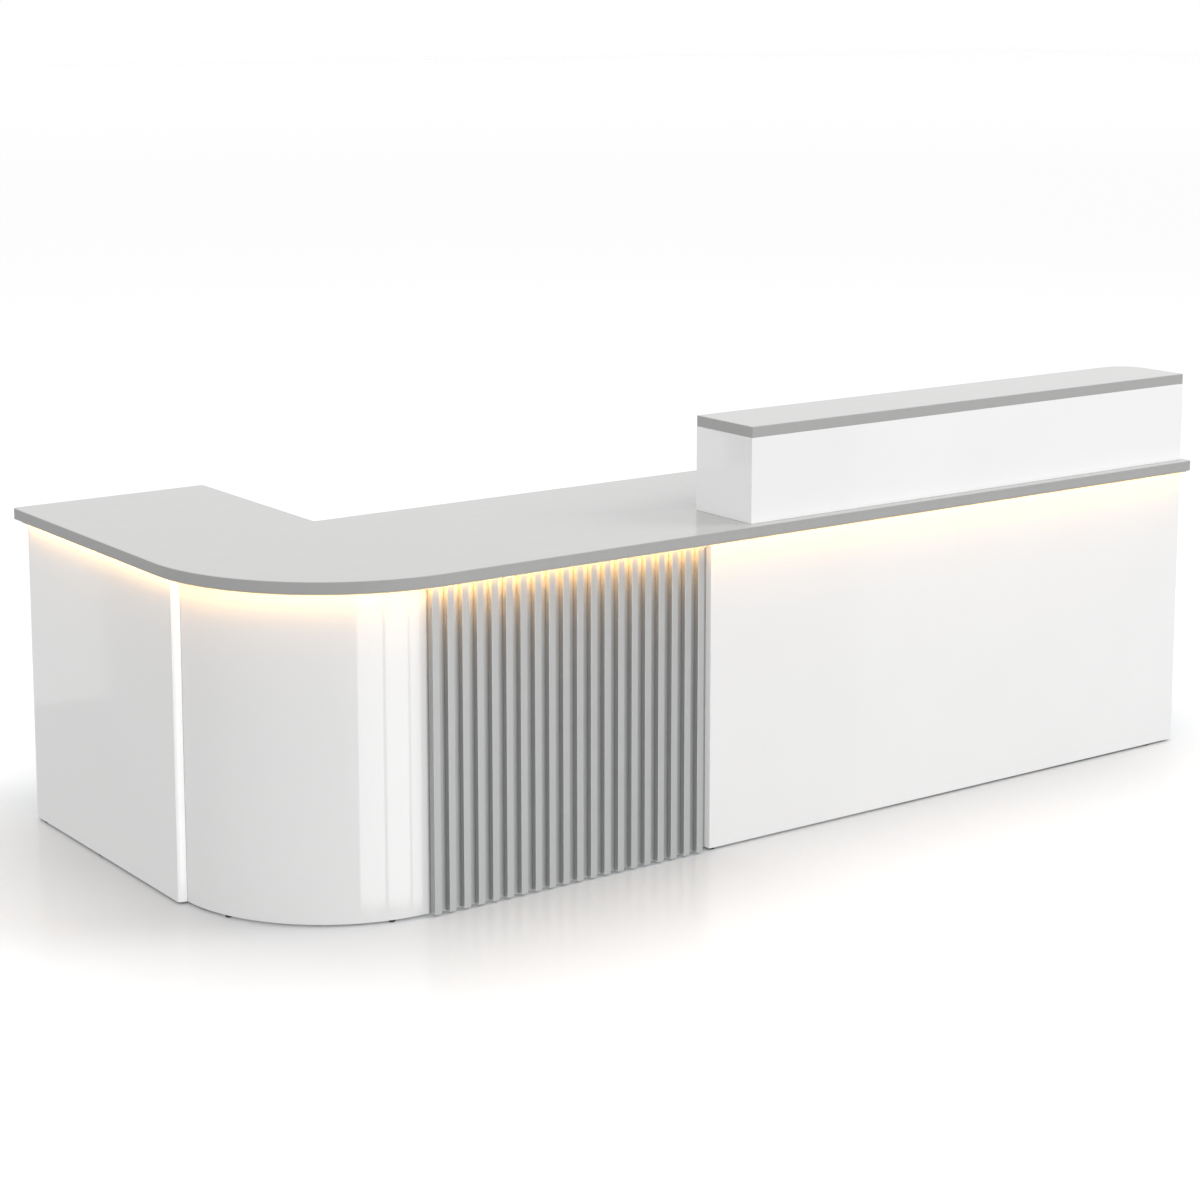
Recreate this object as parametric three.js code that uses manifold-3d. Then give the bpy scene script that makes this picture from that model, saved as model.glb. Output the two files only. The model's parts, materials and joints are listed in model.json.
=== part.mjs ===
// Reception desk: an L-shaped desk with a large rounded front corner, a slatted front,
// a light strip under the overhang, a raised counter, and a cupboard with a drawer on the staff side.
// Millimetres, +Z up. The pieces are placed from the worktop's front-left corner on the floor:
// X runs right along the front and Y runs back to the staff side. The finished group is shifted
// so that its origin is the middle of the desk's footprint, on the floor.

import * as THREE from "three";
import { mergeVertices } from "three/addons/utils/BufferGeometryUtils.js";
import Module from "manifold-3d";

const wasm = await Module();
wasm.setup();

// Worktop sizes
const deskLength = 2800;
const mainDepth = 655;
const returnWidth = 510;
const returnDepth = 1220;
const worktopHeight = 770;
const worktopThickness = 26;
const worktopCornerRadius = 465;
const softCornerRadius = 12;
const edgeBandThickness = 2;
const glueGap = 0.3;

// How far the worktop passes the panels below it
const sideOverhang = 20;
const slatOverhang = 20;
const frontOverhang = 28;
const endOverhang = 15;
const returnRearOverhang = 42;
const staffOverhang = 20;

// Base panel sizes
const boardThickness = 20;
const cornerRadius = 398;
const cornerSetback = 6;
const cornerLeg = 60;
const sidePanelLap = 20;
const grooveWidth = 26;
const midSupportDepth = 400;
const battenLap = 20;
const battenDepth = 30;

// Slat sizes
const slatCount = 20;
const slatWidth = 18;
const slatThickness = 14;
const slatPitch = 38;

// Raised counter sizes
const counterHeight = 1000;
const counterStart = 1322;
const counterDepth = 210;
const capThickness = 26;
const capCornerRadius = 75;

// Light strip sizes
const ledWidth = 8;
const ledHeight = 4.5;
const driverLength = 160;
const driverDepth = 45;
const driverHeight = 30;
const driverGap = 25;

// Cupboard, drawer and door sizes
const cupboardWidth = 440;
const cupboardBaseHeight = 60;
const frontThickness = 18;
const reveal = 3;
const runningGap = 0.4;
const drawerFrontHeight = 150;
const drawerBoxDepth = 450;
const drawerBoxHeight = 100;
const drawerWall = 14;
const drawerFloor = 8;
const runnerSheet = 2;
const runnerHeight = 30;
const runnerFlange = 14;
const runnerLift = 8;
const pinOffset = 20;
const pinRadius = 4;
const pinReach = 20;
const pinFlangeRadius = 8;
const handleLength = 160;
const handlePostSpan = 128;
const handleRadius = 5;
const handlePostRadius = 4;
const handleStandoff = 28;
const doorHandleInset = 40;
const doorHandleDrop = 60;

// Feet
const footHeight = 5;
const footRadius = 7;
const footInset = 40;
const frontFootInset = 14;
const frontRightFootInset = 90;
const sideFootFromRear = 342;
const cornerFootAngles = { left: 202, right: 257 };

// Steps along the curves
const largeArcSteps = 24;
const softArcSteps = 4;
const capArcSteps = 10;
const roundSides = 16;

// Levels and planes worked out from the sizes above
const underside = worktopHeight - worktopThickness;
const panelLevels = [footHeight, underside];
const baseRight = deskLength - endOverhang;
const staffEdge = mainDepth - staffOverhang;
const sideInner = sideOverhang + boardThickness;
const sidePanelRear = returnDepth - returnRearOverhang;
const slatBoardFront = slatOverhang + slatThickness;
const slatBoardRear = slatBoardFront + boardThickness;
const cornerFront = slatBoardFront + cornerSetback;
const cornerThickness = slatBoardRear - cornerFront;
const cornerCentre = { x: sideInner + cornerRadius, y: cornerFront + cornerRadius };
const slatStart = cornerCentre.x;
const slatEnd = slatStart + (slatCount - 1) * slatPitch + slatWidth;
const frontPanelLeft = slatEnd + grooveWidth;
const frontPanelRear = frontOverhang + boardThickness;
const counterRear = frontOverhang + counterDepth;
const capUnderside = counterHeight - capThickness;
const cupboardRight = baseRight - boardThickness;
const cupboardLeft = cupboardRight - cupboardWidth;
const cupboardBaseTop = cupboardBaseHeight + boardThickness;
const dividerTop = underside - drawerFrontHeight - 2 * reveal;
const dividerUnderside = dividerTop - boardThickness;
const frontBack = staffEdge - frontThickness;
const frontSpan = [cupboardLeft + reveal, cupboardRight - reveal];
const runnerLevel = dividerTop + runnerLift;

// Materials
function finish(color, roughness, metalness = 0) {
  return new THREE.MeshStandardMaterial({ color, roughness, metalness });
}

const greyLaminate = finish("#b3b3b2", 0.2);
const greyBand = finish("#acacab", 0.3);
const whiteGloss = finish("#f3f3f1", 0.1);
const greySlat = finish("#b4b5b5", 0.45);
const whiteMelamine = finish("#e9e9e6", 0.5);
const lightSleeve = finish("#fff3d8", 0.6);
const driverCase = finish("#c9cbcc", 0.4, 0.8);
const steel = finish("#a9adb0", 0.35, 0.9);
const blackPlastic = finish("#1b1b1c", 0.6);

// Shape helpers
function named(name, material, geometry) {
  const mesh = new THREE.Mesh(geometry, material);
  mesh.name = name;
  return mesh;
}

function middle([low, high]) {
  return (low + high) / 2;
}

function length([low, high]) {
  return high - low;
}

// A straight board between two limits on each axis.
function board(name, material, x, y, z) {
  const geometry = new THREE.BoxGeometry(length(x), length(y), length(z));
  const mesh = named(name, material, geometry);
  mesh.position.set(middle(x), middle(y), middle(z));
  return mesh;
}

// A level plate: a closed plan outline, with an optional hole, raised between two levels.
function plate(name, material, outline, [low, high], hole) {
  const shape = new THREE.Shape(outline);
  if (hole) shape.holes.push(new THREE.Path(hole));
  const geometry = new THREE.ExtrudeGeometry(shape, { depth: high - low, bevelEnabled: false });
  const mesh = named(name, material, geometry);
  mesh.position.z = low;
  return mesh;
}

function point(x, y) {
  return new THREE.Vector2(x, y);
}

// The points of an arc between two angles in degrees, both ends included.
function arc(x, y, radius, from, to, steps) {
  return Array.from({ length: steps + 1 }, (_, i) => {
    const angle = THREE.MathUtils.degToRad(from + ((to - from) * i) / steps);
    return point(x + radius * Math.cos(angle), y + radius * Math.sin(angle));
  });
}

function solid(geometry) {
  const bare = geometry.clone();
  bare.deleteAttribute("normal");
  bare.deleteAttribute("uv");
  const merged = mergeVertices(bare);
  const vertProperties = new Float32Array(merged.attributes.position.array);
  const triVerts = new Uint32Array(merged.index.array);
  return new wasm.Manifold(new wasm.Mesh({ numProp: 3, vertProperties, triVerts }));
}

function geometryOf(manifold) {
  const mesh = manifold.getMesh();
  const geometry = new THREE.BufferGeometry();
  geometry.setAttribute("position", new THREE.BufferAttribute(mesh.vertProperties, 3));
  geometry.setIndex(new THREE.BufferAttribute(mesh.triVerts, 1));
  geometry.computeVertexNormals();
  return geometry;
}

// A round rod standing on z = 0.
function rod(radius, height) {
  const geometry = new THREE.CylinderGeometry(radius, radius, height, roundSides);
  return geometry.rotateX(Math.PI / 2).translate(0, 0, height / 2);
}

// Worktop
function worktopOutline(inset) {
  const soft = softCornerRadius;
  const big = worktopCornerRadius;
  const softArc = (x, y, from) => arc(x, y, soft - inset, from, from + 90, softArcSteps);
  return [
    ...arc(big, big, big - inset, 180, 270, largeArcSteps),
    ...softArc(deskLength - soft, soft, 270),
    ...softArc(deskLength - soft, mainDepth - soft, 0),
    ...arc(returnWidth + soft, mainDepth + soft, soft + inset, 270, 180, softArcSteps),
    ...softArc(returnWidth - soft, returnDepth - soft, 0),
    ...softArc(soft, returnDepth - soft, 90),
  ];
}

function worktop() {
  const levels = [underside, worktopHeight];
  const core = worktopOutline(edgeBandThickness + glueGap);
  return [
    plate("worktop", greyLaminate, core, levels),
    plate("worktop_edge_band", greyBand, worktopOutline(0), levels, worktopOutline(edgeBandThickness)),
  ];
}

// Curved corner panel: a quarter ring with a straight leg that lies behind the side panel.
function cornerPanel() {
  const { x, y } = cornerCentre;
  const legEnd = y + cornerLeg;
  const outline = [
    point(sideInner, legEnd),
    ...arc(x, y, cornerRadius, 180, 270, largeArcSteps),
    ...arc(x, y, cornerRadius - cornerThickness, 270, 180, largeArcSteps),
    point(sideInner + cornerThickness, legEnd),
  ];
  return plate("corner_panel", whiteGloss, outline, panelLevels);
}

// Outer and inner panels that carry the worktop
function basePanels() {
  const sideX = [sideOverhang, sideInner];
  const sideY = [cornerCentre.y - sidePanelLap, sidePanelRear];
  const frontX = [frontPanelLeft, baseRight];
  const frontY = [frontOverhang, frontPanelRear];
  const endX = [cupboardRight, baseRight];
  const endY = [frontPanelRear, staffEdge];
  const returnEndX = [sideInner, returnWidth - staffOverhang];
  const returnEndY = [sidePanelRear - boardThickness, sidePanelRear];
  const midX = [slatEnd - boardThickness, slatEnd];
  const midY = [slatBoardRear, slatBoardRear + midSupportDepth];
  const battenX = [slatEnd, frontPanelLeft + battenLap];
  const battenY = [frontPanelRear, frontPanelRear + battenDepth];
  return [
    board("return_side_panel", whiteGloss, sideX, sideY, panelLevels),
    cornerPanel(),
    board("front_panel", whiteGloss, frontX, frontY, panelLevels),
    board("right_end_panel", whiteGloss, endX, endY, panelLevels),
    board("return_end_panel", whiteGloss, returnEndX, returnEndY, panelLevels),
    board("mid_support", whiteMelamine, midX, midY, panelLevels),
    board("mid_batten", whiteMelamine, battenX, battenY, panelLevels),
  ];
}

// Slatted front: a board with upright slats on its face
function slattedFront() {
  const boardY = [slatBoardFront, slatBoardRear];
  const slatY = [slatOverhang, slatBoardFront];
  const slats = Array.from({ length: slatCount }, (_, i) => {
    const left = slatStart + i * slatPitch;
    const name = `slat_${String(i + 1).padStart(2, "0")}`;
    return board(name, greySlat, [left, left + slatWidth], slatY, panelLevels);
  });
  return [board("slat_board", greySlat, [slatStart, slatEnd], boardY, panelLevels), ...slats];
}

// Raised counter: a front, two ends and a cap with one rounded rear corner
function capOutline(inset) {
  const [left, right] = [counterStart + inset, baseRight - inset];
  const [front, rear] = [frontOverhang + inset, counterRear - inset];
  const roundX = baseRight - capCornerRadius;
  const roundY = counterRear - capCornerRadius;
  return [
    point(left, front),
    point(right, front),
    ...arc(roundX, roundY, capCornerRadius - inset, 0, 90, capArcSteps),
    point(left, rear),
  ];
}

function counter() {
  const wallLevels = [worktopHeight, capUnderside];
  const capLevels = [capUnderside, counterHeight];
  const frontX = [counterStart, baseRight];
  const frontY = [frontOverhang, frontPanelRear];
  const leftX = [counterStart, counterStart + boardThickness];
  const leftY = [frontPanelRear, counterRear];
  const rightX = [cupboardRight, baseRight];
  const rightY = [frontPanelRear, counterRear - capCornerRadius];
  const core = capOutline(edgeBandThickness + glueGap);
  return [
    board("counter_front", whiteGloss, frontX, frontY, wallLevels),
    board("counter_left_end", whiteGloss, leftX, leftY, wallLevels),
    board("counter_right_end", whiteGloss, rightX, rightY, wallLevels),
    plate("counter_cap", greyLaminate, core, capLevels),
    plate("counter_cap_edge_band", greyBand, capOutline(0), capLevels, capOutline(edgeBandThickness)),
  ];
}

// Light strip under the overhang, in the middle of the narrowest stretch, and its driver
function lighting() {
  const ledInset = (Math.min(sideOverhang, slatOverhang) - ledWidth) / 2;
  const inner = ledInset + ledWidth;
  const big = worktopCornerRadius;
  const outline = [
    point(ledInset, sidePanelRear),
    ...arc(big, big, big - ledInset, 180, 270, largeArcSteps),
    point(baseRight, ledInset),
    point(baseRight, inner),
    ...arc(big, big, big - inner, 270, 180, largeArcSteps),
    point(inner, sidePanelRear),
  ];
  const driverStart = frontPanelLeft + battenLap + driverGap;
  const driverFront = frontPanelRear + driverGap;
  const driverX = [driverStart, driverStart + driverLength];
  const driverY = [driverFront, driverFront + driverDepth];
  return [
    plate("led_strip", lightSleeve, outline, [underside - ledHeight, underside]),
    board("led_driver", driverCase, driverX, driverY, [underside - driverHeight, underside]),
  ];
}

// Cupboard boards at the right end, between the end panel and a side of its own
function cupboard() {
  const depth = [frontPanelRear, staffEdge];
  const width = [cupboardLeft, cupboardRight];
  const sideX = [cupboardLeft - boardThickness, cupboardLeft];
  return [
    board("cupboard_side", whiteMelamine, sideX, depth, panelLevels),
    board("cupboard_base", whiteMelamine, width, depth, [cupboardBaseHeight, cupboardBaseTop]),
    board("cupboard_divider", whiteMelamine, width, depth, [dividerUnderside, dividerTop]),
  ];
}

// A bar handle on two posts: the posts start at y = 0 and the bar runs along X.
function handleGeometry() {
  const bar = rod(handleRadius, handleLength)
    .translate(0, 0, -handleLength / 2)
    .rotateY(Math.PI / 2)
    .translate(0, handleStandoff, 0);
  const post = rod(handlePostRadius, handleStandoff).rotateX(-Math.PI / 2);
  const halfSpan = handlePostSpan / 2;
  const left = solid(post.clone().translate(-halfSpan, 0, 0));
  const right = solid(post.clone().translate(halfSpan, 0, 0));
  return geometryOf(solid(bar).add(left).add(right));
}

// Drawer: a front, an open box behind it, a handle, and an angle runner on each side
function drawerBoxGeometry(width) {
  const outer = new THREE.BoxGeometry(width, drawerBoxDepth, drawerBoxHeight);
  const hollow = new THREE.BoxGeometry(width - 2 * drawerWall, drawerBoxDepth - 2 * drawerWall, drawerBoxHeight);
  hollow.translate(0, 0, drawerFloor);
  return geometryOf(solid(outer).subtract(solid(hollow)));
}

function runner(name, side) {
  const start = side > 0 ? cupboardLeft : cupboardRight;
  const outline = [
    point(0, 0),
    point(side * runnerFlange, 0),
    point(side * runnerFlange, runnerSheet),
    point(side * runnerSheet, runnerSheet),
    point(side * runnerSheet, runnerHeight),
    point(0, runnerHeight),
  ];
  const depth = drawerBoxDepth - reveal;
  const geometry = new THREE.ExtrudeGeometry(new THREE.Shape(outline), { depth, bevelEnabled: false });
  const mesh = named(name, steel, geometry.rotateX(Math.PI / 2));
  mesh.position.set(start, frontBack - reveal, runnerLevel);
  return mesh;
}

function drawer() {
  const frontLevels = [dividerTop + reveal, underside - reveal];
  const boxWidth = cupboardWidth - 2 * (runnerSheet + runningGap);
  const boxBottom = runnerLevel + runnerSheet + runningGap;
  const box = named("drawer_box", whiteMelamine, drawerBoxGeometry(boxWidth));
  box.position.set(middle(frontSpan), frontBack - drawerBoxDepth / 2, boxBottom + drawerBoxHeight / 2);
  const handle = named("drawer_handle", steel, handleGeometry());
  handle.position.set(middle(frontSpan), staffEdge, middle(frontLevels));
  return [
    board("drawer_front", whiteGloss, frontSpan, [frontBack, staffEdge], frontLevels),
    box,
    handle,
    runner("drawer_runner_left", 1),
    runner("drawer_runner_right", -1),
  ];
}

// Door: hung on a flanged pin at its lower and upper edge
function doorPin(name, level, direction) {
  const flange = reveal - runningGap;
  const profile = [
    point(0, 0),
    point(pinFlangeRadius, 0),
    point(pinFlangeRadius, flange),
    point(pinRadius, flange),
    point(pinRadius, flange + pinReach),
    point(0, flange + pinReach),
  ];
  const geometry = new THREE.LatheGeometry(profile, roundSides).rotateX((direction * Math.PI) / 2);
  const mesh = named(name, steel, geometry);
  mesh.position.set(frontSpan[1] - pinOffset, staffEdge - frontThickness / 2, level);
  return mesh;
}

function doorGeometry(levels) {
  const width = length(frontSpan);
  const height = length(levels);
  const boreDepth = pinReach + runningGap;
  const pinX = width / 2 - pinOffset;
  const bore = rod(pinRadius + runningGap, 2 * boreDepth);
  const lower = solid(bore.clone().translate(pinX, 0, -height / 2 - boreDepth));
  const upper = solid(bore.clone().translate(pinX, 0, height / 2 - boreDepth));
  const panel = solid(new THREE.BoxGeometry(width, frontThickness, height));
  return geometryOf(panel.subtract(lower).subtract(upper));
}

function door() {
  const levels = [cupboardBaseTop + reveal, dividerUnderside - reveal];
  const panel = named("cupboard_door", whiteGloss, doorGeometry(levels));
  panel.position.set(middle(frontSpan), staffEdge - frontThickness / 2, middle(levels));
  const handle = named("door_handle", steel, handleGeometry().rotateY(Math.PI / 2));
  const handleTop = levels[1] - doorHandleDrop;
  handle.position.set(frontSpan[0] + doorHandleInset, staffEdge, handleTop - handleLength / 2);
  return [
    panel,
    handle,
    doorPin("door_pin_lower", cupboardBaseTop, 1),
    doorPin("door_pin_upper", dividerUnderside, -1),
  ];
}

// Feet: nail-on glides under the panels
function foot(name, x, y) {
  const mesh = named(`foot_${name}`, blackPlastic, rod(footRadius, footHeight));
  mesh.position.set(x, y, 0);
  return mesh;
}

function cornerFoot(name, angle) {
  const [place] = arc(cornerCentre.x, cornerCentre.y, cornerRadius - cornerThickness / 2, angle, angle, 1);
  return foot(name, place.x, place.y);
}

function feet() {
  const halfBoard = boardThickness / 2;
  const sideX = sideOverhang + halfBoard;
  const frontY = frontOverhang + halfBoard;
  const rearY = staffEdge - footInset;
  return [
    foot("side_rear", sideX, sidePanelRear - footInset),
    foot("side_middle", sideX, sidePanelRear - sideFootFromRear),
    cornerFoot("corner_left", cornerFootAngles.left),
    cornerFoot("corner_right", cornerFootAngles.right),
    foot("front_left", frontPanelLeft + frontFootInset, frontY),
    foot("front_right", baseRight - frontRightFootInset, frontY),
    foot("right_end", baseRight - halfBoard, rearY),
    foot("cupboard_side", cupboardLeft - halfBoard, rearY),
    foot("return_end", returnWidth - staffOverhang - footInset, sidePanelRear - halfBoard),
    foot("mid_support", slatEnd - halfBoard, slatBoardRear + midSupportDepth - footInset),
  ];
}

// The whole desk
const desk = new THREE.Group();
desk.name = "reception_desk";
desk.add(
  ...worktop(),
  ...basePanels(),
  ...slattedFront(),
  ...counter(),
  ...lighting(),
  ...cupboard(),
  ...drawer(),
  ...door(),
  ...feet(),
);
desk.position.set(-deskLength / 2, -returnDepth / 2, 0);

export default desk;
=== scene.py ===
# Reception desk: the finished surfaces, materials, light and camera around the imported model.
# Metres, +Z up. X runs right along the front and Y runs back to the staff side.

import json
import math

import bpy
import numpy as np
from mathutils import Matrix, Vector


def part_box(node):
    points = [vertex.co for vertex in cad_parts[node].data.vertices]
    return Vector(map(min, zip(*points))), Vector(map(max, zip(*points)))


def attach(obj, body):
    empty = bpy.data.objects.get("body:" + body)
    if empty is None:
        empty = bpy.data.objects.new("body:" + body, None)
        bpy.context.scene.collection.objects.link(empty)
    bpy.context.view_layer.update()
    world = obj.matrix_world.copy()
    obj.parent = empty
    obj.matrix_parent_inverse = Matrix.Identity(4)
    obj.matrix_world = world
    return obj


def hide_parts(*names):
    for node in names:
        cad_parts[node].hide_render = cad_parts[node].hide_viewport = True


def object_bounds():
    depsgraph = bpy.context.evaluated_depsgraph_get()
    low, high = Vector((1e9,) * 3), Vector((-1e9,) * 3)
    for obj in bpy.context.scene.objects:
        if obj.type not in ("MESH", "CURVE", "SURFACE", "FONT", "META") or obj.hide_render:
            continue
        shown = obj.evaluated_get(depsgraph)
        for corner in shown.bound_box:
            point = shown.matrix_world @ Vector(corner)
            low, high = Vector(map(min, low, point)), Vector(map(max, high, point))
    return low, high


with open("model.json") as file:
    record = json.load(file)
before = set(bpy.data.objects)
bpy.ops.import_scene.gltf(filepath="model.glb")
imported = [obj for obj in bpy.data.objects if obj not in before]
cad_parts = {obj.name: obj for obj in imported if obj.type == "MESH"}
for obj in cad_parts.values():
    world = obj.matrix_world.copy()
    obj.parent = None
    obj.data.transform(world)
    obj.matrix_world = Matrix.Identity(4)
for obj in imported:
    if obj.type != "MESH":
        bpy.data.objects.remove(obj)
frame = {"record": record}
cad_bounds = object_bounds()

MM = 0.001

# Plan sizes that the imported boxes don't give
MAIN_DEPTH = 655 * MM
RETURN_WIDTH = 510 * MM
WORKTOP_CORNER_RADIUS = 465 * MM
SOFT_CORNER_RADIUS = 12 * MM
EDGE_BAND_THICKNESS = 2 * MM
CORNER_PANEL_THICKNESS = 14 * MM
CAP_CORNER_RADIUS = 75 * MM
STRIP_WIDTH = 8 * MM
# Thickness of the grey strip of painted shade in the last groove
GROOVE_SHADE_SHEET = 1 * MM
DRAWER_WALL = 14 * MM
DRAWER_FLOOR = 8 * MM
RUNNER_SHEET = 2 * MM
HANDLE_POST_SPAN = 128 * MM
HANDLE_RADIUS = 5 * MM
HANDLE_POST_RADIUS = 4 * MM
PIN_RADIUS = 4 * MM
PIN_FLANGE = 2.6 * MM
DRIVER_RIBS = 9
DRIVER_RIB_STEPS = 8
DRIVER_RIB_DEPTH = 1.6 * MM
DRIVER_END_CAP = 5 * MM
LAMPS_PER_METRE = 60

# Rounding of the edges
BOARD_ARRIS = 0.8 * MM
BAND_ARRIS = 1.2 * MM
GLUE_ARRIS = 0.15 * MM
SLAT_ARRIS = 1.2 * MM
STRIP_ARRIS = 1.2 * MM
METAL_ARRIS = 0.6 * MM
PLAN_SLACK = 1.25
ARRIS_STEPS = 3
LARGE_ARC_STEPS = 96
SMALL_ARC_STEPS = 8
BOARD_ARC_STEPS = 4
ROUND_SIDES = 32
NOSE_TURN = (8, 24)
FACE_AREA_WEIGHT = 100

# Patterns in the finishes
CLOUD_DETAIL = 4.0
RIPPLE_DETAIL = 2.0
GRAIN_DETAIL = 3.0
GRAIN_STRETCH = 30
SLEEVE_COLOUR = "#fff3d8"
SLEEVE_ROUGHNESS = 0.5
LAMP_RIPPLE = 0.25

# Camera, matched to the photograph's viewpoint
CAMERA_PLACE = (-3.886, -5.274, 2.0065)
CAMERA_AZIMUTH = 35.71
CAMERA_PITCH = 8.884
CAMERA_FOCAL_PIXELS = 2633.6
PICTURE_PIXELS = 1200
PRINCIPAL_ROW = 400
SENSOR_WIDTH = 36

# Light: an even white surround, and tall white panes.
# Each pane fills a span of azimuth and of rise, in degrees, seen from the point of the desk that it faces.
# Azimuth is from straight ahead of the front, towards the right.
# An edge pane shines on one panel alone and brightens the edge that it faces.
SURROUND_STRENGTH = 0.95
PANE_DISTANCE = 8.0
CORNER_POINT = (-1.05, -0.56, 0.4)
FRONT_POINT = (0.25, -0.58, 0.4)
SIDE_POINT = (-1.38, 0.15, 0.4)
FRONT_RISE = (-22.0, 6.0)
EDGE_RISE = (2.0, 24.0)
PANES = {
    "front_left": {"faces": CORNER_POINT, "azimuth": (-16.6, 0.2), "rise": FRONT_RISE, "radiance": 3.0},
    "front_middle": {"faces": CORNER_POINT, "azimuth": (2.2, 17.8), "rise": FRONT_RISE, "radiance": 3.0},
    "front_right": {"faces": CORNER_POINT, "azimuth": (19.3, 26.5), "rise": FRONT_RISE, "radiance": 3.0},
    "far_right": {"faces": FRONT_POINT, "azimuth": (41.4, 75.0), "rise": (-24.0, 6.0), "radiance": 0.45},
    "far_left": {"faces": SIDE_POINT, "azimuth": (-180.0, -155.2), "rise": (-15.4, 30.0), "radiance": 0.35},
    "high_key": {"faces": FRONT_POINT, "azimuth": (45.0, 75.0), "rise": (27.0, 55.0), "radiance": 5.6},
    "high_fill": {"faces": CORNER_POINT, "azimuth": (-54.0, -12.0), "rise": (15.0, 45.0), "radiance": 1.25},
}
EDGE_PANES = {
    "return_side_panel": {"faces": SIDE_POINT, "azimuth": (-4.0, 12.0), "rise": EDGE_RISE, "radiance": 6.0},
    "front_panel": {"faces": FRONT_POINT, "azimuth": (-96.0, -84.0), "rise": EDGE_RISE, "radiance": 8.0},
}
STRIP_GLOW = 17.0
STRIP_COLOUR = "#ffc476"

# The strip's light on the slats: one lamp for the tips of their faces, and a higher one for the grooves.
SLAT_GLOWS = {
    "slat_face_glow": {"rise": -0.5 * MM, "depths": (-1 * MM, 1 * MM), "spread": 180, "radiance": 200.0},
    "groove_glow": {"rise": 40 * MM, "depths": (-1 * MM, 9 * MM), "spread": 60, "radiance": 105.0},
}

# Floor, with painted shade: its tone greys close to the desk
FLOOR_REACH = 60.0
# Reach and tones of the painted shade on the floor: grey by the desk, white beyond the reach
FLOOR_SHADE_REACH = 500 * MM
FLOOR_PAINTED_SHADE_TONES = ("#d5d7d9", "#fcfcfc")
FLOOR_DIM_TONE = "#8a8a8a"
FLOOR_ROUGHNESS = 0.16
FLOOR_IOR = 1.3
VIEW_REACH = 4 * FLOOR_REACH

# Which body carries a node and which finish it has
record = frame["record"]
bodies = record["behaviour"]["bodies"]
body_of = {node: body for body, members in bodies.items() for node in members}
slot_of = {part["node"]: part["material_slot"] for part in record["subparts"]}


# Materials

def linear(hex_colour):
    """The linear colour of an sRGB hex value, as shader sockets take it."""
    value = np.array([int(hex_colour[i:i + 2], 16) for i in (1, 3, 5)]) / 255
    channels = np.where(value <= 0.04045, value / 12.92, ((value + 0.055) / 1.055) ** 2.4)
    return (*channels.tolist(), 1.0)


def add_node(tree, kind, inputs=None, **settings):
    """Adds one node: settings are its own properties, inputs are socket values or links."""
    node = tree.nodes.new("ShaderNode" + kind)
    for name, value in settings.items():
        setattr(node, name, value)
    for name, value in (inputs or {}).items():
        if isinstance(value, bpy.types.NodeSocket):
            tree.links.new(value, node.inputs[name])
        else:
            node.inputs[name].default_value = value
    return node


def new_material(name):
    """An empty material and its shader tree."""
    material = bpy.data.materials.new(name)
    material.use_nodes = True
    material.node_tree.nodes.clear()
    return material, material.node_tree


def mixed_tone(tree, share, tones):
    """The colour at a share of the way between two sRGB tones, which the mix takes at sockets 6 and 7."""
    inputs = {0: share, 6: linear(tones[0]), 7: linear(tones[1])}
    return add_node(tree, "Mix", inputs, data_type="RGBA").outputs[2]


def mixed_value(tree, share, ends):
    """The value at a share of the way between two ends."""
    inputs = {"Value": share, "To Min": ends[0], "To Max": ends[1]}
    return add_node(tree, "MapRange", inputs).outputs["Result"]


def noise(tree, place, size_mm, detail):
    """A noise pattern from 0 to 1 with features of the given size."""
    inputs = {"Vector": place, "Scale": 1 / (size_mm * MM), "Detail": detail}
    return add_node(tree, "TexNoise", inputs).outputs["Fac"]


def board_finish(name, tones, cloud_mm, roughness, ripple_mm, ripple_depth_mm, ior=1.5, metallic=0.0):
    """A coated board: cloudy change of tone and gloss, and a fine ripple in the coat.

    tones are the two sRGB ends of the cloud and roughness its two ends, cloud_mm and ripple_mm are the
    sizes of the patterns in millimetres, and ripple_depth_mm is the depth of the ripple.
    """
    material, tree = new_material(name)
    place = add_node(tree, "TexCoord").outputs["Object"]
    cloud = noise(tree, place, cloud_mm, CLOUD_DETAIL)
    ripple = noise(tree, place, ripple_mm, RIPPLE_DETAIL)
    bump = add_node(tree, "Bump", {"Height": ripple, "Distance": ripple_depth_mm * MM})
    shader = add_node(
        tree,
        "BsdfPrincipled",
        {
            "Base Color": mixed_tone(tree, cloud, tones),
            "Roughness": mixed_value(tree, cloud, roughness),
            "Normal": bump.outputs["Normal"],
            "IOR": ior,
            "Metallic": metallic,
        },
    )
    add_node(tree, "OutputMaterial", {"Surface": shader.outputs["BSDF"]})
    return material


def grey_laminate():
    """Gloss laminate pressed on board: even grey, soft mirror gloss, faint ripple of the press plate."""
    return board_finish(
        "grey gloss laminate",
        tones=("#b1b1b0", "#b6b6b5"),
        cloud_mm=60,
        roughness=(0.10, 0.15),
        ripple_mm=9,
        ripple_depth_mm=0.0012,
    )


def grey_edge_band():
    """Extruded ABS edging: the laminate's grey, a little duller than the face."""
    return board_finish(
        "grey ABS edging",
        tones=("#a9a9a9", "#aeaead"),
        cloud_mm=40,
        roughness=(0.42, 0.55),
        ripple_mm=3,
        ripple_depth_mm=0.006,
        ior=1.35,
    )


def white_gloss():
    """White high-gloss lacquer, sprayed and polished: clear reflections with a trace of spray ripple."""
    return board_finish(
        "white high-gloss lacquer",
        tones=("#f0f0f0", "#f4f4f4"),
        cloud_mm=220,
        roughness=(0.03, 0.07),
        ripple_mm=14,
        ripple_depth_mm=0.003,
    )


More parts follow.
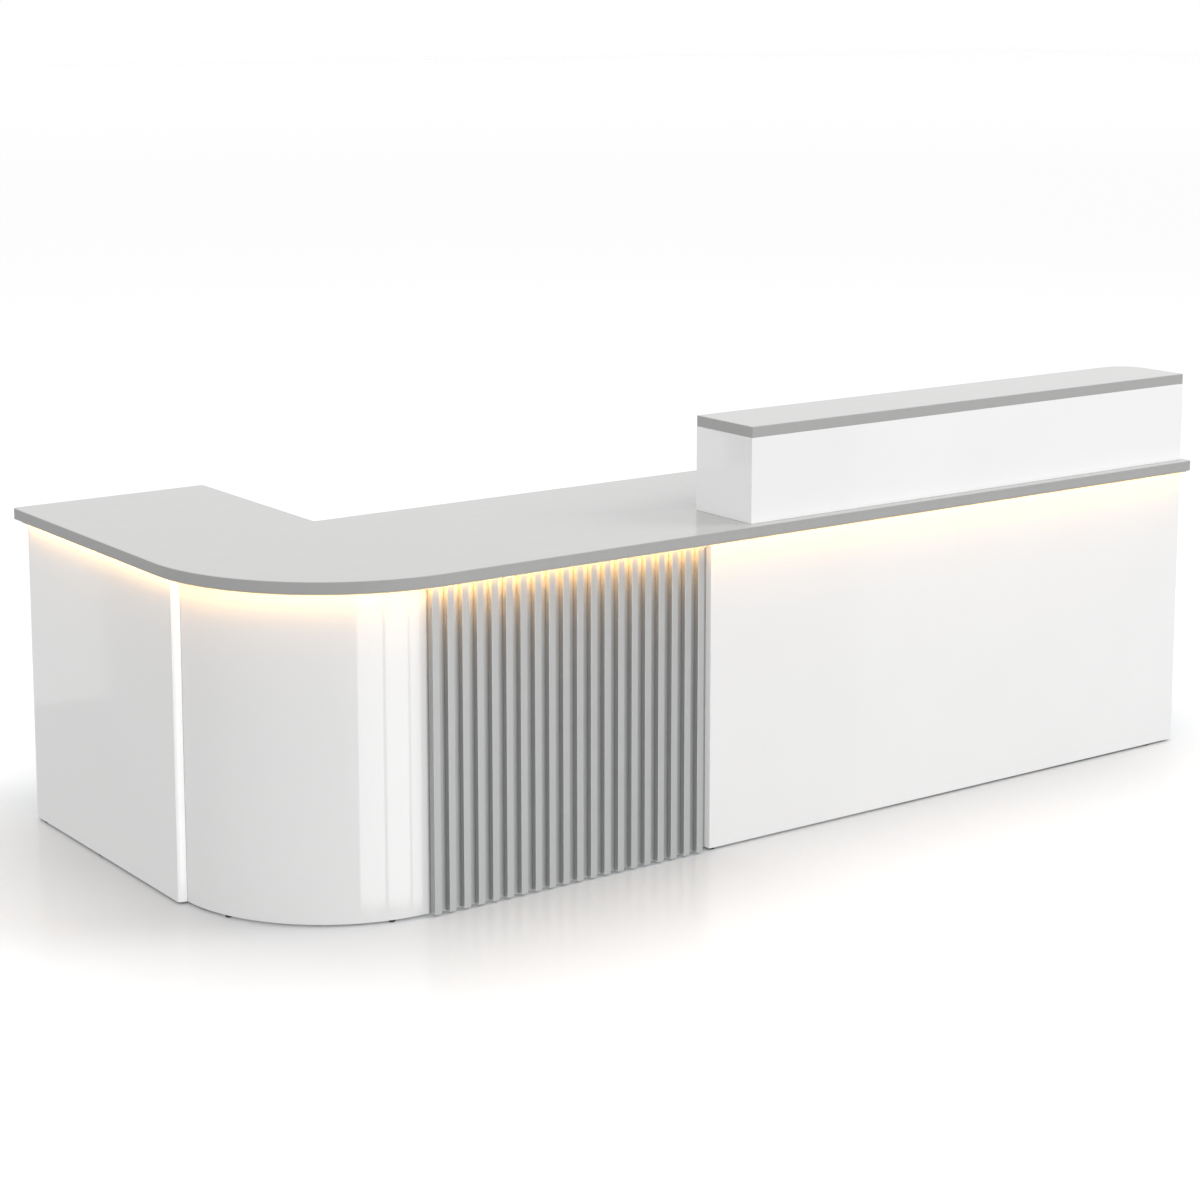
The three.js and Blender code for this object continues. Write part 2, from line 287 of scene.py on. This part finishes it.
def grey_slat_lacquer():
    """Silver-grey metallic lacquer on routed fibreboard: pale faces, dark grooves and a fine stipple."""
    return board_finish(
        "silver-grey metallic lacquer",
        tones=("#adaeae", "#b4b5b5"),
        cloud_mm=50,
        roughness=(0.32, 0.42),
        ripple_mm=2.5,
        ripple_depth_mm=0.004,
        metallic=0.6,
    )


def white_melamine():
    """Melamine-faced board: warm white with a fine pearl texture, drawn coarser than real to show."""
    return board_finish(
        "white melamine",
        tones=("#e4e4e0", "#ecece8"),
        cloud_mm=90,
        roughness=(0.42, 0.55),
        ripple_mm=2,
        ripple_depth_mm=0.015,
    )


def black_plastic():
    """Moulded polypropylene glide: near black with a fine grain."""
    return board_finish(
        "black polypropylene",
        tones=("#17171a", "#202022"),
        cloud_mm=8,
        roughness=(0.50, 0.65),
        ripple_mm=0.8,
        ripple_depth_mm=0.02,
    )


def brushed_metal(name, tones, roughness, grain_mm):
    """Brushed metal: fine scratches along the length, as changes of tone and gloss."""
    material, tree = new_material(name)
    place = add_node(tree, "Attribute", attribute_name="grain").outputs["Vector"]
    grain = noise(tree, place, grain_mm, GRAIN_DETAIL)
    shader = add_node(
        tree,
        "BsdfPrincipled",
        {
            "Base Color": mixed_tone(tree, grain, tones),
            "Roughness": mixed_value(tree, grain, roughness),
            "Metallic": 1.0,
        },
    )
    add_node(tree, "OutputMaterial", {"Surface": shader.outputs["BSDF"]})
    return material


def brushed_steel():
    """Stainless steel, brushed: cool grey with soft streaks."""
    return brushed_metal(
        "brushed stainless steel",
        tones=("#a8abad", "#c2c4c5"),
        roughness=(0.26, 0.42),
        grain_mm=1.2,
    )


def driver_aluminium():
    """Extruded aluminium, satin anodised: pale and even with faint die lines."""
    return brushed_metal(
        "anodised aluminium",
        tones=("#c2c4c6", "#d2d4d5"),
        roughness=(0.32, 0.45),
        grain_mm=2,
    )


def light_sleeve():
    """Milky silicone sleeve over a row of warm-white lamps: brighter over each lamp, opaque at the back."""
    material, tree = new_material("milky silicone light sleeve")
    along = add_node(tree, "Attribute", attribute_name="along").outputs["Fac"]
    phase = add_node(tree, "Math", {0: along, 1: 2 * math.pi * LAMPS_PER_METRE}, operation="MULTIPLY")
    wave = add_node(tree, "Math", {0: phase.outputs["Value"]}, operation="COSINE")
    glow = add_node(
        tree,
        "MapRange",
        {
            "Value": wave.outputs["Value"],
            "From Min": -1.0,
            "To Min": (1 - LAMP_RIPPLE) * STRIP_GLOW,
            "To Max": (1 + LAMP_RIPPLE) * STRIP_GLOW,
        },
    )
    clear = add_node(tree, "Attribute", attribute_name="clear").outputs["Fac"]
    shine = add_node(tree, "Math", {0: glow.outputs["Result"], 1: clear}, operation="MULTIPLY")
    shader = add_node(
        tree,
        "BsdfPrincipled",
        {
            "Base Color": linear(SLEEVE_COLOUR),
            "Roughness": SLEEVE_ROUGHNESS,
            "Emission Color": linear(STRIP_COLOUR),
            "Emission Strength": shine.outputs["Value"],
        },
    )
    add_node(tree, "OutputMaterial", {"Surface": shader.outputs["BSDF"]})
    return material


finishes = {
    "grey_laminate": grey_laminate(),
    "grey_edge_band": grey_edge_band(),
    "white_gloss_board": white_gloss(),
    "grey_slat": grey_slat_lacquer(),
    "white_melamine": white_melamine(),
    "light_sleeve": light_sleeve(),
    "driver_case": driver_aluminium(),
    "steel": brushed_steel(),
    "black_plastic": black_plastic(),
}


# Shapes as rings of points

def outline_rings(corners, insets, levels):
    """A plan outline carried up an edge profile, as an array of rings.

    Every corner is an arc (x, y, radius, start angle, sweep, steps), with the sweep below zero at an
    inner corner. The point of ring k on a corner is its centre plus the radius, less inset k at an
    outer corner and plus inset k at an inner one, along the arc's angle, at level k.
    """
    insets = np.asarray(insets)[:, None]
    arcs = []
    for x, y, radius, start, sweep, steps in corners:
        angle = np.radians(start + sweep * np.linspace(0, 1, steps + 1))
        reach = radius - math.copysign(1, sweep) * insets
        arcs.append(np.stack([x + reach * np.cos(angle), y + reach * np.sin(angle)], axis=-1))
    plan = np.concatenate(arcs, axis=1)
    heights = np.broadcast_to(np.asarray(levels)[:, None, None], (*plan.shape[:2], 1))
    return np.concatenate([plan, heights], axis=2)


def rounded_edge(low, high, arris):
    """The edge profile of a board: insets and levels of a quarter round at its lower and upper edge."""
    turn = np.linspace(0, np.pi / 2, ARRIS_STEPS + 1)
    inset = arris * (1 - np.sin(turn))
    rise = arris * (1 - np.cos(turn))
    return np.concatenate([inset, inset[::-1]]), np.concatenate([low + rise, high - rise[::-1]])


def rectangle(x_span, y_span, radius):
    """The corners of a rectangle with rounded corners, anticlockwise from front left."""
    left, right = x_span[0] + radius, x_span[1] - radius
    front, rear = y_span[0] + radius, y_span[1] - radius
    places = [(left, front, 180), (right, front, 270), (right, rear, 0), (left, rear, 90)]
    return [(x, y, radius, start, 90, BOARD_ARC_STEPS) for x, y, start in places]


def board_rings(low, high, arris):
    """A straight board between two corners of a box, with all its edges rounded.

    Its upright edges are rounder than the arris, so that the arris never uses up the whole of their arcs.
    """
    corners = rectangle((low[0], high[0]), (low[1], high[1]), PLAN_SLACK * arris)
    return outline_rings(corners, *rounded_edge(low[2], high[2], arris))


def turned_rings(radii, along, base, axis):
    """A turned shape: ring k is centred at the base plus along k times the axis, and has radius k."""
    axis = Vector(axis).normalized()
    side = axis.orthogonal().normalized()
    up = axis.cross(side)
    angle = np.linspace(0, 2 * np.pi, ROUND_SIDES, endpoint=False)
    circle = np.outer(np.cos(angle), side) + np.outer(np.sin(angle), up)
    stem = np.asarray(base) + np.outer(along, axis)
    return stem[:, None, :] + np.asarray(radii)[:, None, None] * circle


def skin(shells, loop):
    """Points and faces of closed shells: quads between the rings, and flat ends or a joined loop."""
    points = []
    faces = []
    start = 0
    for rings in shells:
        count, around = rings.shape[:2]
        index = start + np.arange(count * around).reshape(count, around)
        lower = index if loop else index[:-1]
        upper = np.roll(index, -1, axis=0) if loop else index[1:]
        quads = np.stack([lower, np.roll(lower, -1, axis=1), np.roll(upper, -1, axis=1), upper], axis=-1)
        faces += quads.reshape(-1, 4).tolist()
        if not loop:
            faces += [index[0][::-1].tolist(), index[-1].tolist()]
        points.append(rings.reshape(-1, 3))
        start += count * around
    return np.concatenate(points), faces


def make_mesh(name, shells, loop=False):
    """A smooth-shaded mesh object made of shells of rings, at the origin."""
    points, faces = skin(shells, loop)
    mesh = bpy.data.meshes.new(name)
    mesh.from_pydata(points, [], faces)
    mesh.shade_smooth()
    thing = bpy.data.objects.new(name, mesh)
    bpy.context.scene.collection.objects.link(thing)
    return thing


def add_piece(name, shells, body, slot, loop=False):
    """A finished piece that rides on a body and takes a slot's finish.

    Normals weighted by face area keep the large faces flat beside the roundings.
    """
    piece = make_mesh(name, shells, loop)
    piece.modifiers.new("flat faces", "WEIGHTED_NORMAL").weight = FACE_AREA_WEIGHT
    piece.data.materials.append(finishes[slot])
    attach(piece, body)
    return piece


def dress(node, shells, loop=False):
    """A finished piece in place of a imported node, on the node's body and in its finish."""
    piece = add_piece("finished_" + node, shells, body_of[node], slot_of[node], loop)
    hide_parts(node)
    return piece


def brush(piece, along):
    """Lays a metal's grain along one axis: in the pattern's place, distances that way are shrunk."""
    points = np.empty(3 * len(piece.data.vertices))
    piece.data.vertices.foreach_get("co", points)
    points = points.reshape(-1, 3)
    axis = np.array(along)
    drawn = points - (1 - 1 / GRAIN_STRETCH) * np.outer(points @ axis, axis)
    piece.data.attributes.new("grain", "FLOAT_VECTOR", "POINT").data.foreach_set("vector", drawn.ravel())


# Worktop and raised counter's cap: a core and the edge band round it

def worktop_corners(low, high):
    """The L-shaped outline, from the large front-left corner anticlockwise."""
    soft = SOFT_CORNER_RADIUS
    big = WORKTOP_CORNER_RADIUS
    main_rear = low[1] + MAIN_DEPTH
    return_right = low[0] + RETURN_WIDTH
    return [
        (low[0] + big, low[1] + big, big, 180, 90, LARGE_ARC_STEPS),
        (high[0] - soft, low[1] + soft, soft, 270, 90, SMALL_ARC_STEPS),
        (high[0] - soft, main_rear - soft, soft, 0, 90, SMALL_ARC_STEPS),
        (return_right + soft, main_rear + soft, soft, 270, -90, SMALL_ARC_STEPS),
        (return_right - soft, high[1] - soft, soft, 0, 90, SMALL_ARC_STEPS),
        (low[0] + soft, high[1] - soft, soft, 90, 90, SMALL_ARC_STEPS),
    ]


def cap_corners(low, high):
    """The cap's outline: square corners but for the rounded one at the far rear."""
    big = CAP_CORNER_RADIUS
    square = rectangle((low[0], high[0]), (low[1], high[1]), PLAN_SLACK * EDGE_BAND_THICKNESS)
    front_left, front_right, _, rear_left = square
    rounded = (high[0] - big, high[1] - big, big, 0, 90, LARGE_ARC_STEPS)
    return [front_left, front_right, rounded, rear_left]


def dress_banded_top(core_node, band_node, corners_of):
    """A board and its band: the band's profile is a rounded strip, closed round the whole outline."""
    low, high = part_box(band_node)
    corners = corners_of(low, high)
    outer, levels = rounded_edge(low[2], high[2], BAND_ARRIS)
    inner, inner_levels = rounded_edge(low[2], high[2], GLUE_ARRIS)
    insets = np.concatenate([outer, EDGE_BAND_THICKNESS - inner[::-1]])
    band = outline_rings(corners, insets, np.concatenate([levels, inner_levels[::-1]]))
    core = outline_rings(corners, EDGE_BAND_THICKNESS + inner, inner_levels)
    dress(band_node, [band], loop=True)
    dress(core_node, [core])


dress_banded_top("worktop", "worktop_edge_band", worktop_corners)
dress_banded_top("counter_cap", "counter_cap_edge_band", cap_corners)


# Panels, slats and other straight boards

WHITE_PANELS = (
    "front_panel", "right_end_panel", "return_end_panel", "counter_front", "counter_left_end",
    "counter_right_end", "drawer_front", "cupboard_door",
)
INNER_BOARDS = ("mid_support", "mid_batten", "cupboard_side", "cupboard_base", "cupboard_divider")
SLATS = sorted(node for node in slot_of if slot_of[node] == "grey_slat")

for node in WHITE_PANELS + INNER_BOARDS:
    dress(node, [board_rings(*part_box(node), BOARD_ARRIS)])
for node in SLATS:
    dress(node, [board_rings(*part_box(node), SLAT_ARRIS)])


def paint_last_groove_shade():
    """A thin strip in the slats' grey finish on the batten: painted shade, which makes the last groove as
    dark as the rest.
    """
    _, slat_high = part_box("slat_20")
    panel_low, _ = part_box("front_panel")
    batten_low, batten_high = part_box("mid_batten")
    low = (slat_high[0], batten_low[1] - GROOVE_SHADE_SHEET, batten_low[2])
    high = (panel_low[0], batten_low[1], batten_high[2])
    add_piece("groove_shade_sheet", [board_rings(low, high, GLUE_ARRIS)], body_of["mid_batten"], "grey_slat")


paint_last_groove_shade()


# Side panel with its soft front nose, and curved corner panel

def dress_side_panel(node):
    """A board whose front edge is a shallow round nose, turned a little to the outside.

    The nose is an arc that faces NOSE_TURN degrees off the front, the first at the inner corner and the
    second at the outer one. Its radius is the width between the corners over the difference of the sines.
    Its first and last points are the corners' own, so it keeps one step away from each.
    """
    low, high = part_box(node)
    small = PLAN_SLACK * BOARD_ARRIS
    _, _, inner_rear, outer_rear = rectangle((low[0], high[0]), (low[1], high[1]), small)
    inner_turn, outer_turn = NOSE_TURN
    inner_sine, outer_sine = np.sin(np.radians(NOSE_TURN))
    inner_cosine, outer_cosine = np.cos(np.radians(NOSE_TURN))
    radius = (high[0] - low[0] - 2 * small) / (outer_sine - inner_sine) + small
    inner_y = low[1] + small
    nose_x = high[0] - small + (radius - small) * inner_sine
    nose_y = inner_y + (radius - small) * inner_cosine
    outer_y = nose_y - (radius - small) * outer_cosine
    step = (outer_turn - inner_turn) / SMALL_ARC_STEPS
    sweep = outer_turn - inner_turn - 2 * step
    corners = [
        (low[0] + small, outer_y, small, 180, 90 - outer_turn, BOARD_ARC_STEPS),
        (nose_x, nose_y, radius, 270 - outer_turn + step, sweep, SMALL_ARC_STEPS - 2),
        (high[0] - small, inner_y, small, 270 - inner_turn, 90 + inner_turn, BOARD_ARC_STEPS),
        inner_rear,
        outer_rear,
    ]
    dress(node, [outline_rings(corners, *rounded_edge(low[2], high[2], BOARD_ARRIS))])


def dress_corner_panel(node):
    """A quarter ring with a straight leg, as one outline: outer arc, front end, inner arc, leg end."""
    low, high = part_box(node)
    radius = high[0] - low[0]
    centre = (high[0], low[1] + radius)
    inner = radius - CORNER_PANEL_THICKNESS
    small = PLAN_SLACK * BOARD_ARRIS
    leg_end = high[1] - small
    corners = [
        (*centre, radius, 180, 90, LARGE_ARC_STEPS),
        (*centre, inner, 270, -90, LARGE_ARC_STEPS),
        (low[0] + CORNER_PANEL_THICKNESS - small, leg_end, small, 0, 90, BOARD_ARC_STEPS),
        (low[0] + small, leg_end, small, 90, 90, BOARD_ARC_STEPS),
    ]
    dress(node, [outline_rings(corners, *rounded_edge(low[2], high[2], BOARD_ARRIS))])


dress_side_panel("return_side_panel")
dress_corner_panel("corner_panel")


# Light strip

def dress_light_strip(node):
    """A rounded sleeve carried along the worktop's edge: straight, round the corner, and straight again.

    Ring k is the same rounded rectangle, set out from station k of the path along the path's outward
    direction there. Every point keeps its station's distance along the path for the lamps' pattern, and
    whether it is on the clear lower and inner sides of the sleeve or on its opaque back.
    """
    low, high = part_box(node)
    band_low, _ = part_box("worktop_edge_band")
    inset = low[0] - band_low[0] + STRIP_WIDTH / 2
    centre = np.array((band_low[0], band_low[1])) + WORKTOP_CORNER_RADIUS
    turn = np.pad(np.linspace(np.pi, 1.5 * np.pi, LARGE_ARC_STEPS + 1), 1, mode="edge")
    outward = np.stack([np.cos(turn), np.sin(turn)], axis=-1)
    path = centre + (WORKTOP_CORNER_RADIUS - inset) * outward
    path[0, 1] = high[1]
    path[-1, 0] = high[0]
    half = STRIP_WIDTH / 2
    sleeve = rectangle((-half, half), (low[2], high[2]), STRIP_ARRIS)
    section = outline_rings(sleeve, [0.0], [0.0])[0, ::-1]
    plan = path[:, None, :] + section[None, :, :1] * outward[:, None, :]
    heights = np.broadcast_to(section[None, :, 1:2], (*plan.shape[:2], 1))
    piece = dress(node, [np.concatenate([plan, heights], axis=2)])
    stations = np.insert(np.cumsum(np.linalg.norm(np.diff(path, axis=0), axis=1)), 0, 0.0)
    inner = section[:, 0] < half - STRIP_ARRIS / 2
    lower = section[:, 1] < high[2] - STRIP_ARRIS / 2
    values = {
        "along": np.repeat(stations, len(section)),
        "clear": np.tile((inner & lower).astype(float), len(path)),
    }
    for name, value in values.items():
        piece.data.attributes.new(name, "FLOAT", "POINT").data.foreach_set("value", value)


dress_light_strip("led_strip")


# Drawer box, runners, handles, pins and feet

def dress_drawer_box(node):
    """An open tray: the outer outline goes up to the rim, and the inner one goes down to the floor."""
    low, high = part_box(node)
    arris = BOARD_ARRIS
    outer_insets, outer_levels = rounded_edge(low[2], high[2], arris)
    turn = np.linspace(0, np.pi / 2, ARRIS_STEPS + 1)
    inner_insets = np.append(arris * (np.sin(turn) - 1), 0.0)
    inner_levels = np.append(high[2] - arris * (1 - np.cos(turn)), low[2] + DRAWER_FLOOR)
    x_span = np.array((low[0], high[0]))
    y_span = np.array((low[1], high[1]))
    wall = np.array((DRAWER_WALL, -DRAWER_WALL))
    small = PLAN_SLACK * arris
    outer = outline_rings(rectangle(x_span, y_span, small), outer_insets, outer_levels)
    inner = outline_rings(rectangle(x_span + wall, y_span + wall, small), inner_insets, inner_levels)
    dress(node, [np.concatenate([outer, inner])])


def dress_runner(node, side):
    """A sheet angle: its L-shaped section is the outline, carried along the drawer's depth.

    Side 1 has its upright sheet at the left, and side -1 at the right.
    """
    low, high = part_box(node)
    small = METAL_ARRIS
    depth_insets, depth_levels = rounded_edge(low[1], high[1], small / PLAN_SLACK)
    width = high[0] - low[0]
    height = high[2] - low[2]
    sheet = RUNNER_SHEET
    corners = [
        (small, small, small, 180, 90, BOARD_ARC_STEPS),
        (width - small, small, small, 270, 90, BOARD_ARC_STEPS),
        (width - small, sheet - small, small, 0, 90, BOARD_ARC_STEPS),
        (sheet + small, sheet + small, small, 270, -90, BOARD_ARC_STEPS),
        (sheet - small, height - small, small, 0, 90, BOARD_ARC_STEPS),
        (small, height - small, small, 90, 90, BOARD_ARC_STEPS),
    ]
    section = outline_rings(corners, depth_insets, depth_levels)
    across = low[0] + section[..., 0] if side > 0 else high[0] - section[..., 0]
    rings = np.stack([across, section[..., 2], low[2] + section[..., 1]], axis=-1)
    brush(dress(node, [rings[::-1] if side > 0 else rings]), (0, 1, 0))


def round_end(radius, length, arris):
    """Radii and places along a rod with a quarter round at each end."""
    insets, along = rounded_edge(0.0, length, arris)
    return radius - insets, along


def dress_handle(node, along):
    """A bar on two posts: three rods, the bar along the given axis and the posts out of the front."""
    low, high = (np.array(corner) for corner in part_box(node))
    along = np.array(along)
    length = float((high - low) @ along)
    bar_start = np.where(along > 0, low, (low + high) / 2)
    bar_start[1] = high[1] - HANDLE_RADIUS
    bar = turned_rings(*round_end(HANDLE_RADIUS, length, METAL_ARRIS), bar_start, along)
    centre = (low + high) / 2
    centre[1] = low[1]
    reach = high[1] - HANDLE_RADIUS - low[1]
    post_profile = round_end(HANDLE_POST_RADIUS, reach, METAL_ARRIS / 2)
    posts = [
        turned_rings(*post_profile, centre + shift * along, (0, 1, 0))
        for shift in (-HANDLE_POST_SPAN / 2, HANDLE_POST_SPAN / 2)
    ]
    brush(dress(node, [bar, *posts]), along)


def dress_pin(node, direction):
    """A flanged pin: a wide disc, then the pin, turned about the door's pivot.

    Direction 1 points up, and direction -1 points down.
    """
    low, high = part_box(node)
    flange_radius = (high[0] - low[0]) / 2
    length = high[2] - low[2]
    flange, flange_along = round_end(flange_radius, PIN_FLANGE, METAL_ARRIS / 2)
    pin, pin_along = round_end(PIN_RADIUS, length - PIN_FLANGE, METAL_ARRIS)
    radii = np.concatenate([flange, pin[ARRIS_STEPS:]])
    along = np.concatenate([flange_along, PIN_FLANGE + pin_along[ARRIS_STEPS:]])
    base = (*(low + high).xy / 2, low[2] if direction > 0 else high[2])
    brush(dress(node, [turned_rings(radii, along, base, (0, 0, direction))]), (0, 0, 1))


def dress_foot(node):
    """A glide: a round pad with softened edges."""
    low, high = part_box(node)
    radius = (high[0] - low[0]) / 2
    radii, along = round_end(radius, high[2] - low[2], METAL_ARRIS)
    dress(node, [turned_rings(radii, along, (*(low + high).xy / 2, low[2]), (0, 0, 1))])


dress_drawer_box("drawer_box")
dress_runner("drawer_runner_left", 1)
dress_runner("drawer_runner_right", -1)
dress_handle("drawer_handle", (1, 0, 0))
dress_handle("door_handle", (0, 0, 1))
dress_pin("door_pin_lower", 1)
dress_pin("door_pin_upper", -1)
for node in sorted(node for node in slot_of if node.startswith("foot_")):
    dress_foot(node)


# Light strip's driver

def dress_driver(node):
    """A ribbed extrusion between two end plates: in section a rectangle whose lower side is a row of ribs.

    The ribs' depth follows one minus the cosine of their phase across the case.
    """
    low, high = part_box(node)
    share = np.linspace(0, 1, DRIVER_RIB_STEPS * DRIVER_RIBS + 1)
    ribs = low[2] + DRIVER_RIB_DEPTH / 2 * (1 - np.cos(2 * np.pi * DRIVER_RIBS * share))
    across = np.concatenate([low[1] + (high[1] - low[1]) * share, [high[1], low[1]]])
    upright = np.concatenate([ribs, [high[2], high[2]]])
    ends = np.array((low[0] + DRIVER_END_CAP, high[0] - DRIVER_END_CAP))
    body = np.stack(np.broadcast_arrays(ends[:, None], across, upright), axis=-1)
    plates = [
        board_rings((low[0], low[1], low[2]), (ends[0], high[1], high[2]), METAL_ARRIS),
        board_rings((ends[1], low[1], low[2]), (high[0], high[1], high[2]), METAL_ARRIS),
    ]
    brush(dress(node, [body, *plates]), (1, 0, 0))


dress_driver("led_driver")


# Floor, light and camera

def floor_material():
    """Pale studio floor: white to the eye, with painted shade that greys it close to the desk, and a soft
    mirror image.

    The grey follows the distance from a rectangle that lies one corner radius inside the worktop. The light
    that the floor throws back on the desk is that of a dim grey.
    """
    material, tree = new_material("pale studio floor")
    radius = WORKTOP_CORNER_RADIUS
    half = (Vector(cad_bounds[1]) - Vector(cad_bounds[0])) / 2
    inside = (half.x - radius, half.y - radius, 0.0)
    place = add_node(tree, "TexCoord").outputs["Object"]
    quarter = add_node(tree, "VectorMath", {0: place}, operation="ABSOLUTE")
    offset = add_node(tree, "VectorMath", {0: quarter.outputs["Vector"], 1: inside}, operation="SUBTRACT")
    beyond = {0: offset.outputs["Vector"], 1: (0.0, 0.0, 0.0)}
    gap = add_node(tree, "VectorMath", beyond, operation="MAXIMUM")
    distance = add_node(tree, "VectorMath", {0: gap.outputs["Vector"]}, operation="LENGTH")
    share = add_node(
        tree,
        "MapRange",
        {"Value": distance.outputs["Value"], "From Min": radius, "From Max": radius + FLOOR_SHADE_REACH},
    )
    # Painted shade: the floor's tone is grey by the desk and white beyond FLOOR_SHADE_REACH
    tone = mixed_tone(tree, share.outputs["Result"], FLOOR_PAINTED_SHADE_TONES)
    polish = add_node(
        tree, "BsdfPrincipled", {"Base Color": tone, "Roughness": FLOOR_ROUGHNESS, "IOR": FLOOR_IOR}
    )
    dim = add_node(tree, "BsdfDiffuse", {"Color": linear(FLOOR_DIM_TONE)})
    path = add_node(tree, "LightPath")
    look = add_node(
        tree,
        "MixShader",
        {0: path.outputs["Is Camera Ray"], 1: dim.outputs["BSDF"], 2: polish.outputs["BSDF"]},
    )
    add_node(tree, "OutputMaterial", {"Surface": look.outputs["Shader"]})
    return material


def make_floor():
    """A flat square under the desk."""
    reach = np.array((-FLOOR_REACH, FLOOR_REACH))
    x, y = np.meshgrid(reach, reach)
    points = np.stack([x, y, np.zeros_like(x)], axis=-1).reshape(-1, 3)
    mesh = bpy.data.meshes.new("studio_floor")
    mesh.from_pydata(points, [], [(0, 1, 3, 2)])
    mesh.materials.append(floor_material())
    floor = bpy.data.objects.new("studio_floor", mesh)
    bpy.context.scene.collection.objects.link(floor)
    floor.visible_glossy = False


def make_world():
    """Even surroundings: white to the eye and in mirror images, and a soft light on the desk."""
    world = bpy.data.worlds.new("studio")
    world.use_nodes = True
    tree = world.node_tree
    tree.nodes.clear()
    path = add_node(tree, "LightPath")
    rays = {0: path.outputs["Is Camera Ray"], 1: path.outputs["Is Glossy Ray"]}
    seen = add_node(tree, "Math", rays, operation="MAXIMUM")
    strength = add_node(tree, "MapRange", {"Value": seen.outputs["Value"], "To Min": SURROUND_STRENGTH})
    surround = add_node(
        tree, "Background", {"Color": linear("#ffffff"), "Strength": strength.outputs["Result"]}
    )
    add_node(tree, "OutputWorld", {"Surface": surround.outputs["Background"]})
    bpy.context.scene.world = world


def add_pane(name, faces, azimuth, rise, radiance):
    """An upright rectangular light that fills the given angles as seen from the point that it faces.

    One that starts above the horizon stays out of mirror images and leaves no white patch on the tops.
    """
    half_turn = math.radians(azimuth[1] - azimuth[0]) / 2
    heading = math.radians(sum(azimuth) / 2)
    low, high = (PANE_DISTANCE * math.tan(math.radians(angle)) for angle in rise)
    lamp = bpy.data.lights.new(name, "AREA")
    lamp.shape = "RECTANGLE"
    lamp.size = 2 * PANE_DISTANCE * math.tan(half_turn)
    lamp.size_y = high - low
    lamp.energy = radiance * math.pi * lamp.size * lamp.size_y
    pane = bpy.data.objects.new(name, lamp)
    outward = Vector((math.sin(heading), -math.cos(heading), 0.0))
    middle = Vector(faces) + PANE_DISTANCE * outward + Vector((0.0, 0.0, (low + high) / 2))
    pane.matrix_world = Matrix.Translation(middle) @ outward.to_track_quat("Z", "Y").to_matrix().to_4x4()
    pane.visible_camera = False
    pane.visible_glossy = rise[0] < 0
    bpy.context.scene.collection.objects.link(pane)
    return pane


def shine_only_on(lamp, nodes):
    """Keeps a lamp's light, and the shadows in it, to the finished pieces of some nodes."""
    pieces = bpy.data.collections.new(lamp.name)
    for node in nodes:
        pieces.objects.link(bpy.data.objects["finished_" + node])
    lamp.light_linking.receiver_collection = pieces
    lamp.light_linking.blocker_collection = pieces


def add_slat_glow(name, rise, depths, spread, radiance):
    """The strip's light on the slats: a thin lamp along them, from one groove's width before the first.

    rise is its height over the strip, depths are its edges behind the plane of the slats' faces, and spread
    is the angle of its beam in degrees.
    """
    first_low, first_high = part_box("slat_01")
    second_low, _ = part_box("slat_02")
    _, last_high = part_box("slat_20")
    _, strip_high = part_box("led_strip")
    left = first_low[0] - (second_low[0] - first_high[0])
    lamp = bpy.data.lights.new(name, "AREA")
    lamp.shape = "RECTANGLE"
    lamp.size = last_high[0] - left
    lamp.size_y = depths[1] - depths[0]
    lamp.spread = math.radians(spread)
    lamp.color = linear(STRIP_COLOUR)[:3]
    lamp.energy = radiance * math.pi * lamp.size * lamp.size_y
    glow = bpy.data.objects.new(name, lamp)
    glow.location = ((left + last_high[0]) / 2, first_low[1] + sum(depths) / 2, strip_high[2] + rise)
    glow.visible_camera = False
    bpy.context.scene.collection.objects.link(glow)
    return glow


def make_camera():
    """The photograph's viewpoint: a level camera turned and pitched down, its axis above the middle."""
    lens = bpy.data.cameras.new("camera")
    lens.sensor_width = SENSOR_WIDTH
    lens.lens = SENSOR_WIDTH * CAMERA_FOCAL_PIXELS / PICTURE_PIXELS
    lens.shift_y = PRINCIPAL_ROW / PICTURE_PIXELS - 0.5
    lens.clip_end = VIEW_REACH
    camera = bpy.data.objects.new("camera", lens)
    turn = Matrix.Rotation(-math.radians(CAMERA_AZIMUTH), 4, "Z")
    tilt = Matrix.Rotation(math.radians(90 - CAMERA_PITCH), 4, "X")
    camera.matrix_world = Matrix.Translation(CAMERA_PLACE) @ turn @ tilt
    bpy.context.scene.collection.objects.link(camera)
    bpy.context.scene.camera = camera


make_floor()
make_world()
for name, pane in PANES.items():
    add_pane(name, **pane)
for node, pane in EDGE_PANES.items():
    shine_only_on(add_pane(node + "_light", **pane), [node])
for name, glow in SLAT_GLOWS.items():
    shine_only_on(add_slat_glow(name, **glow), SLATS)
make_camera()
bpy.context.scene.view_settings.view_transform = "Standard"
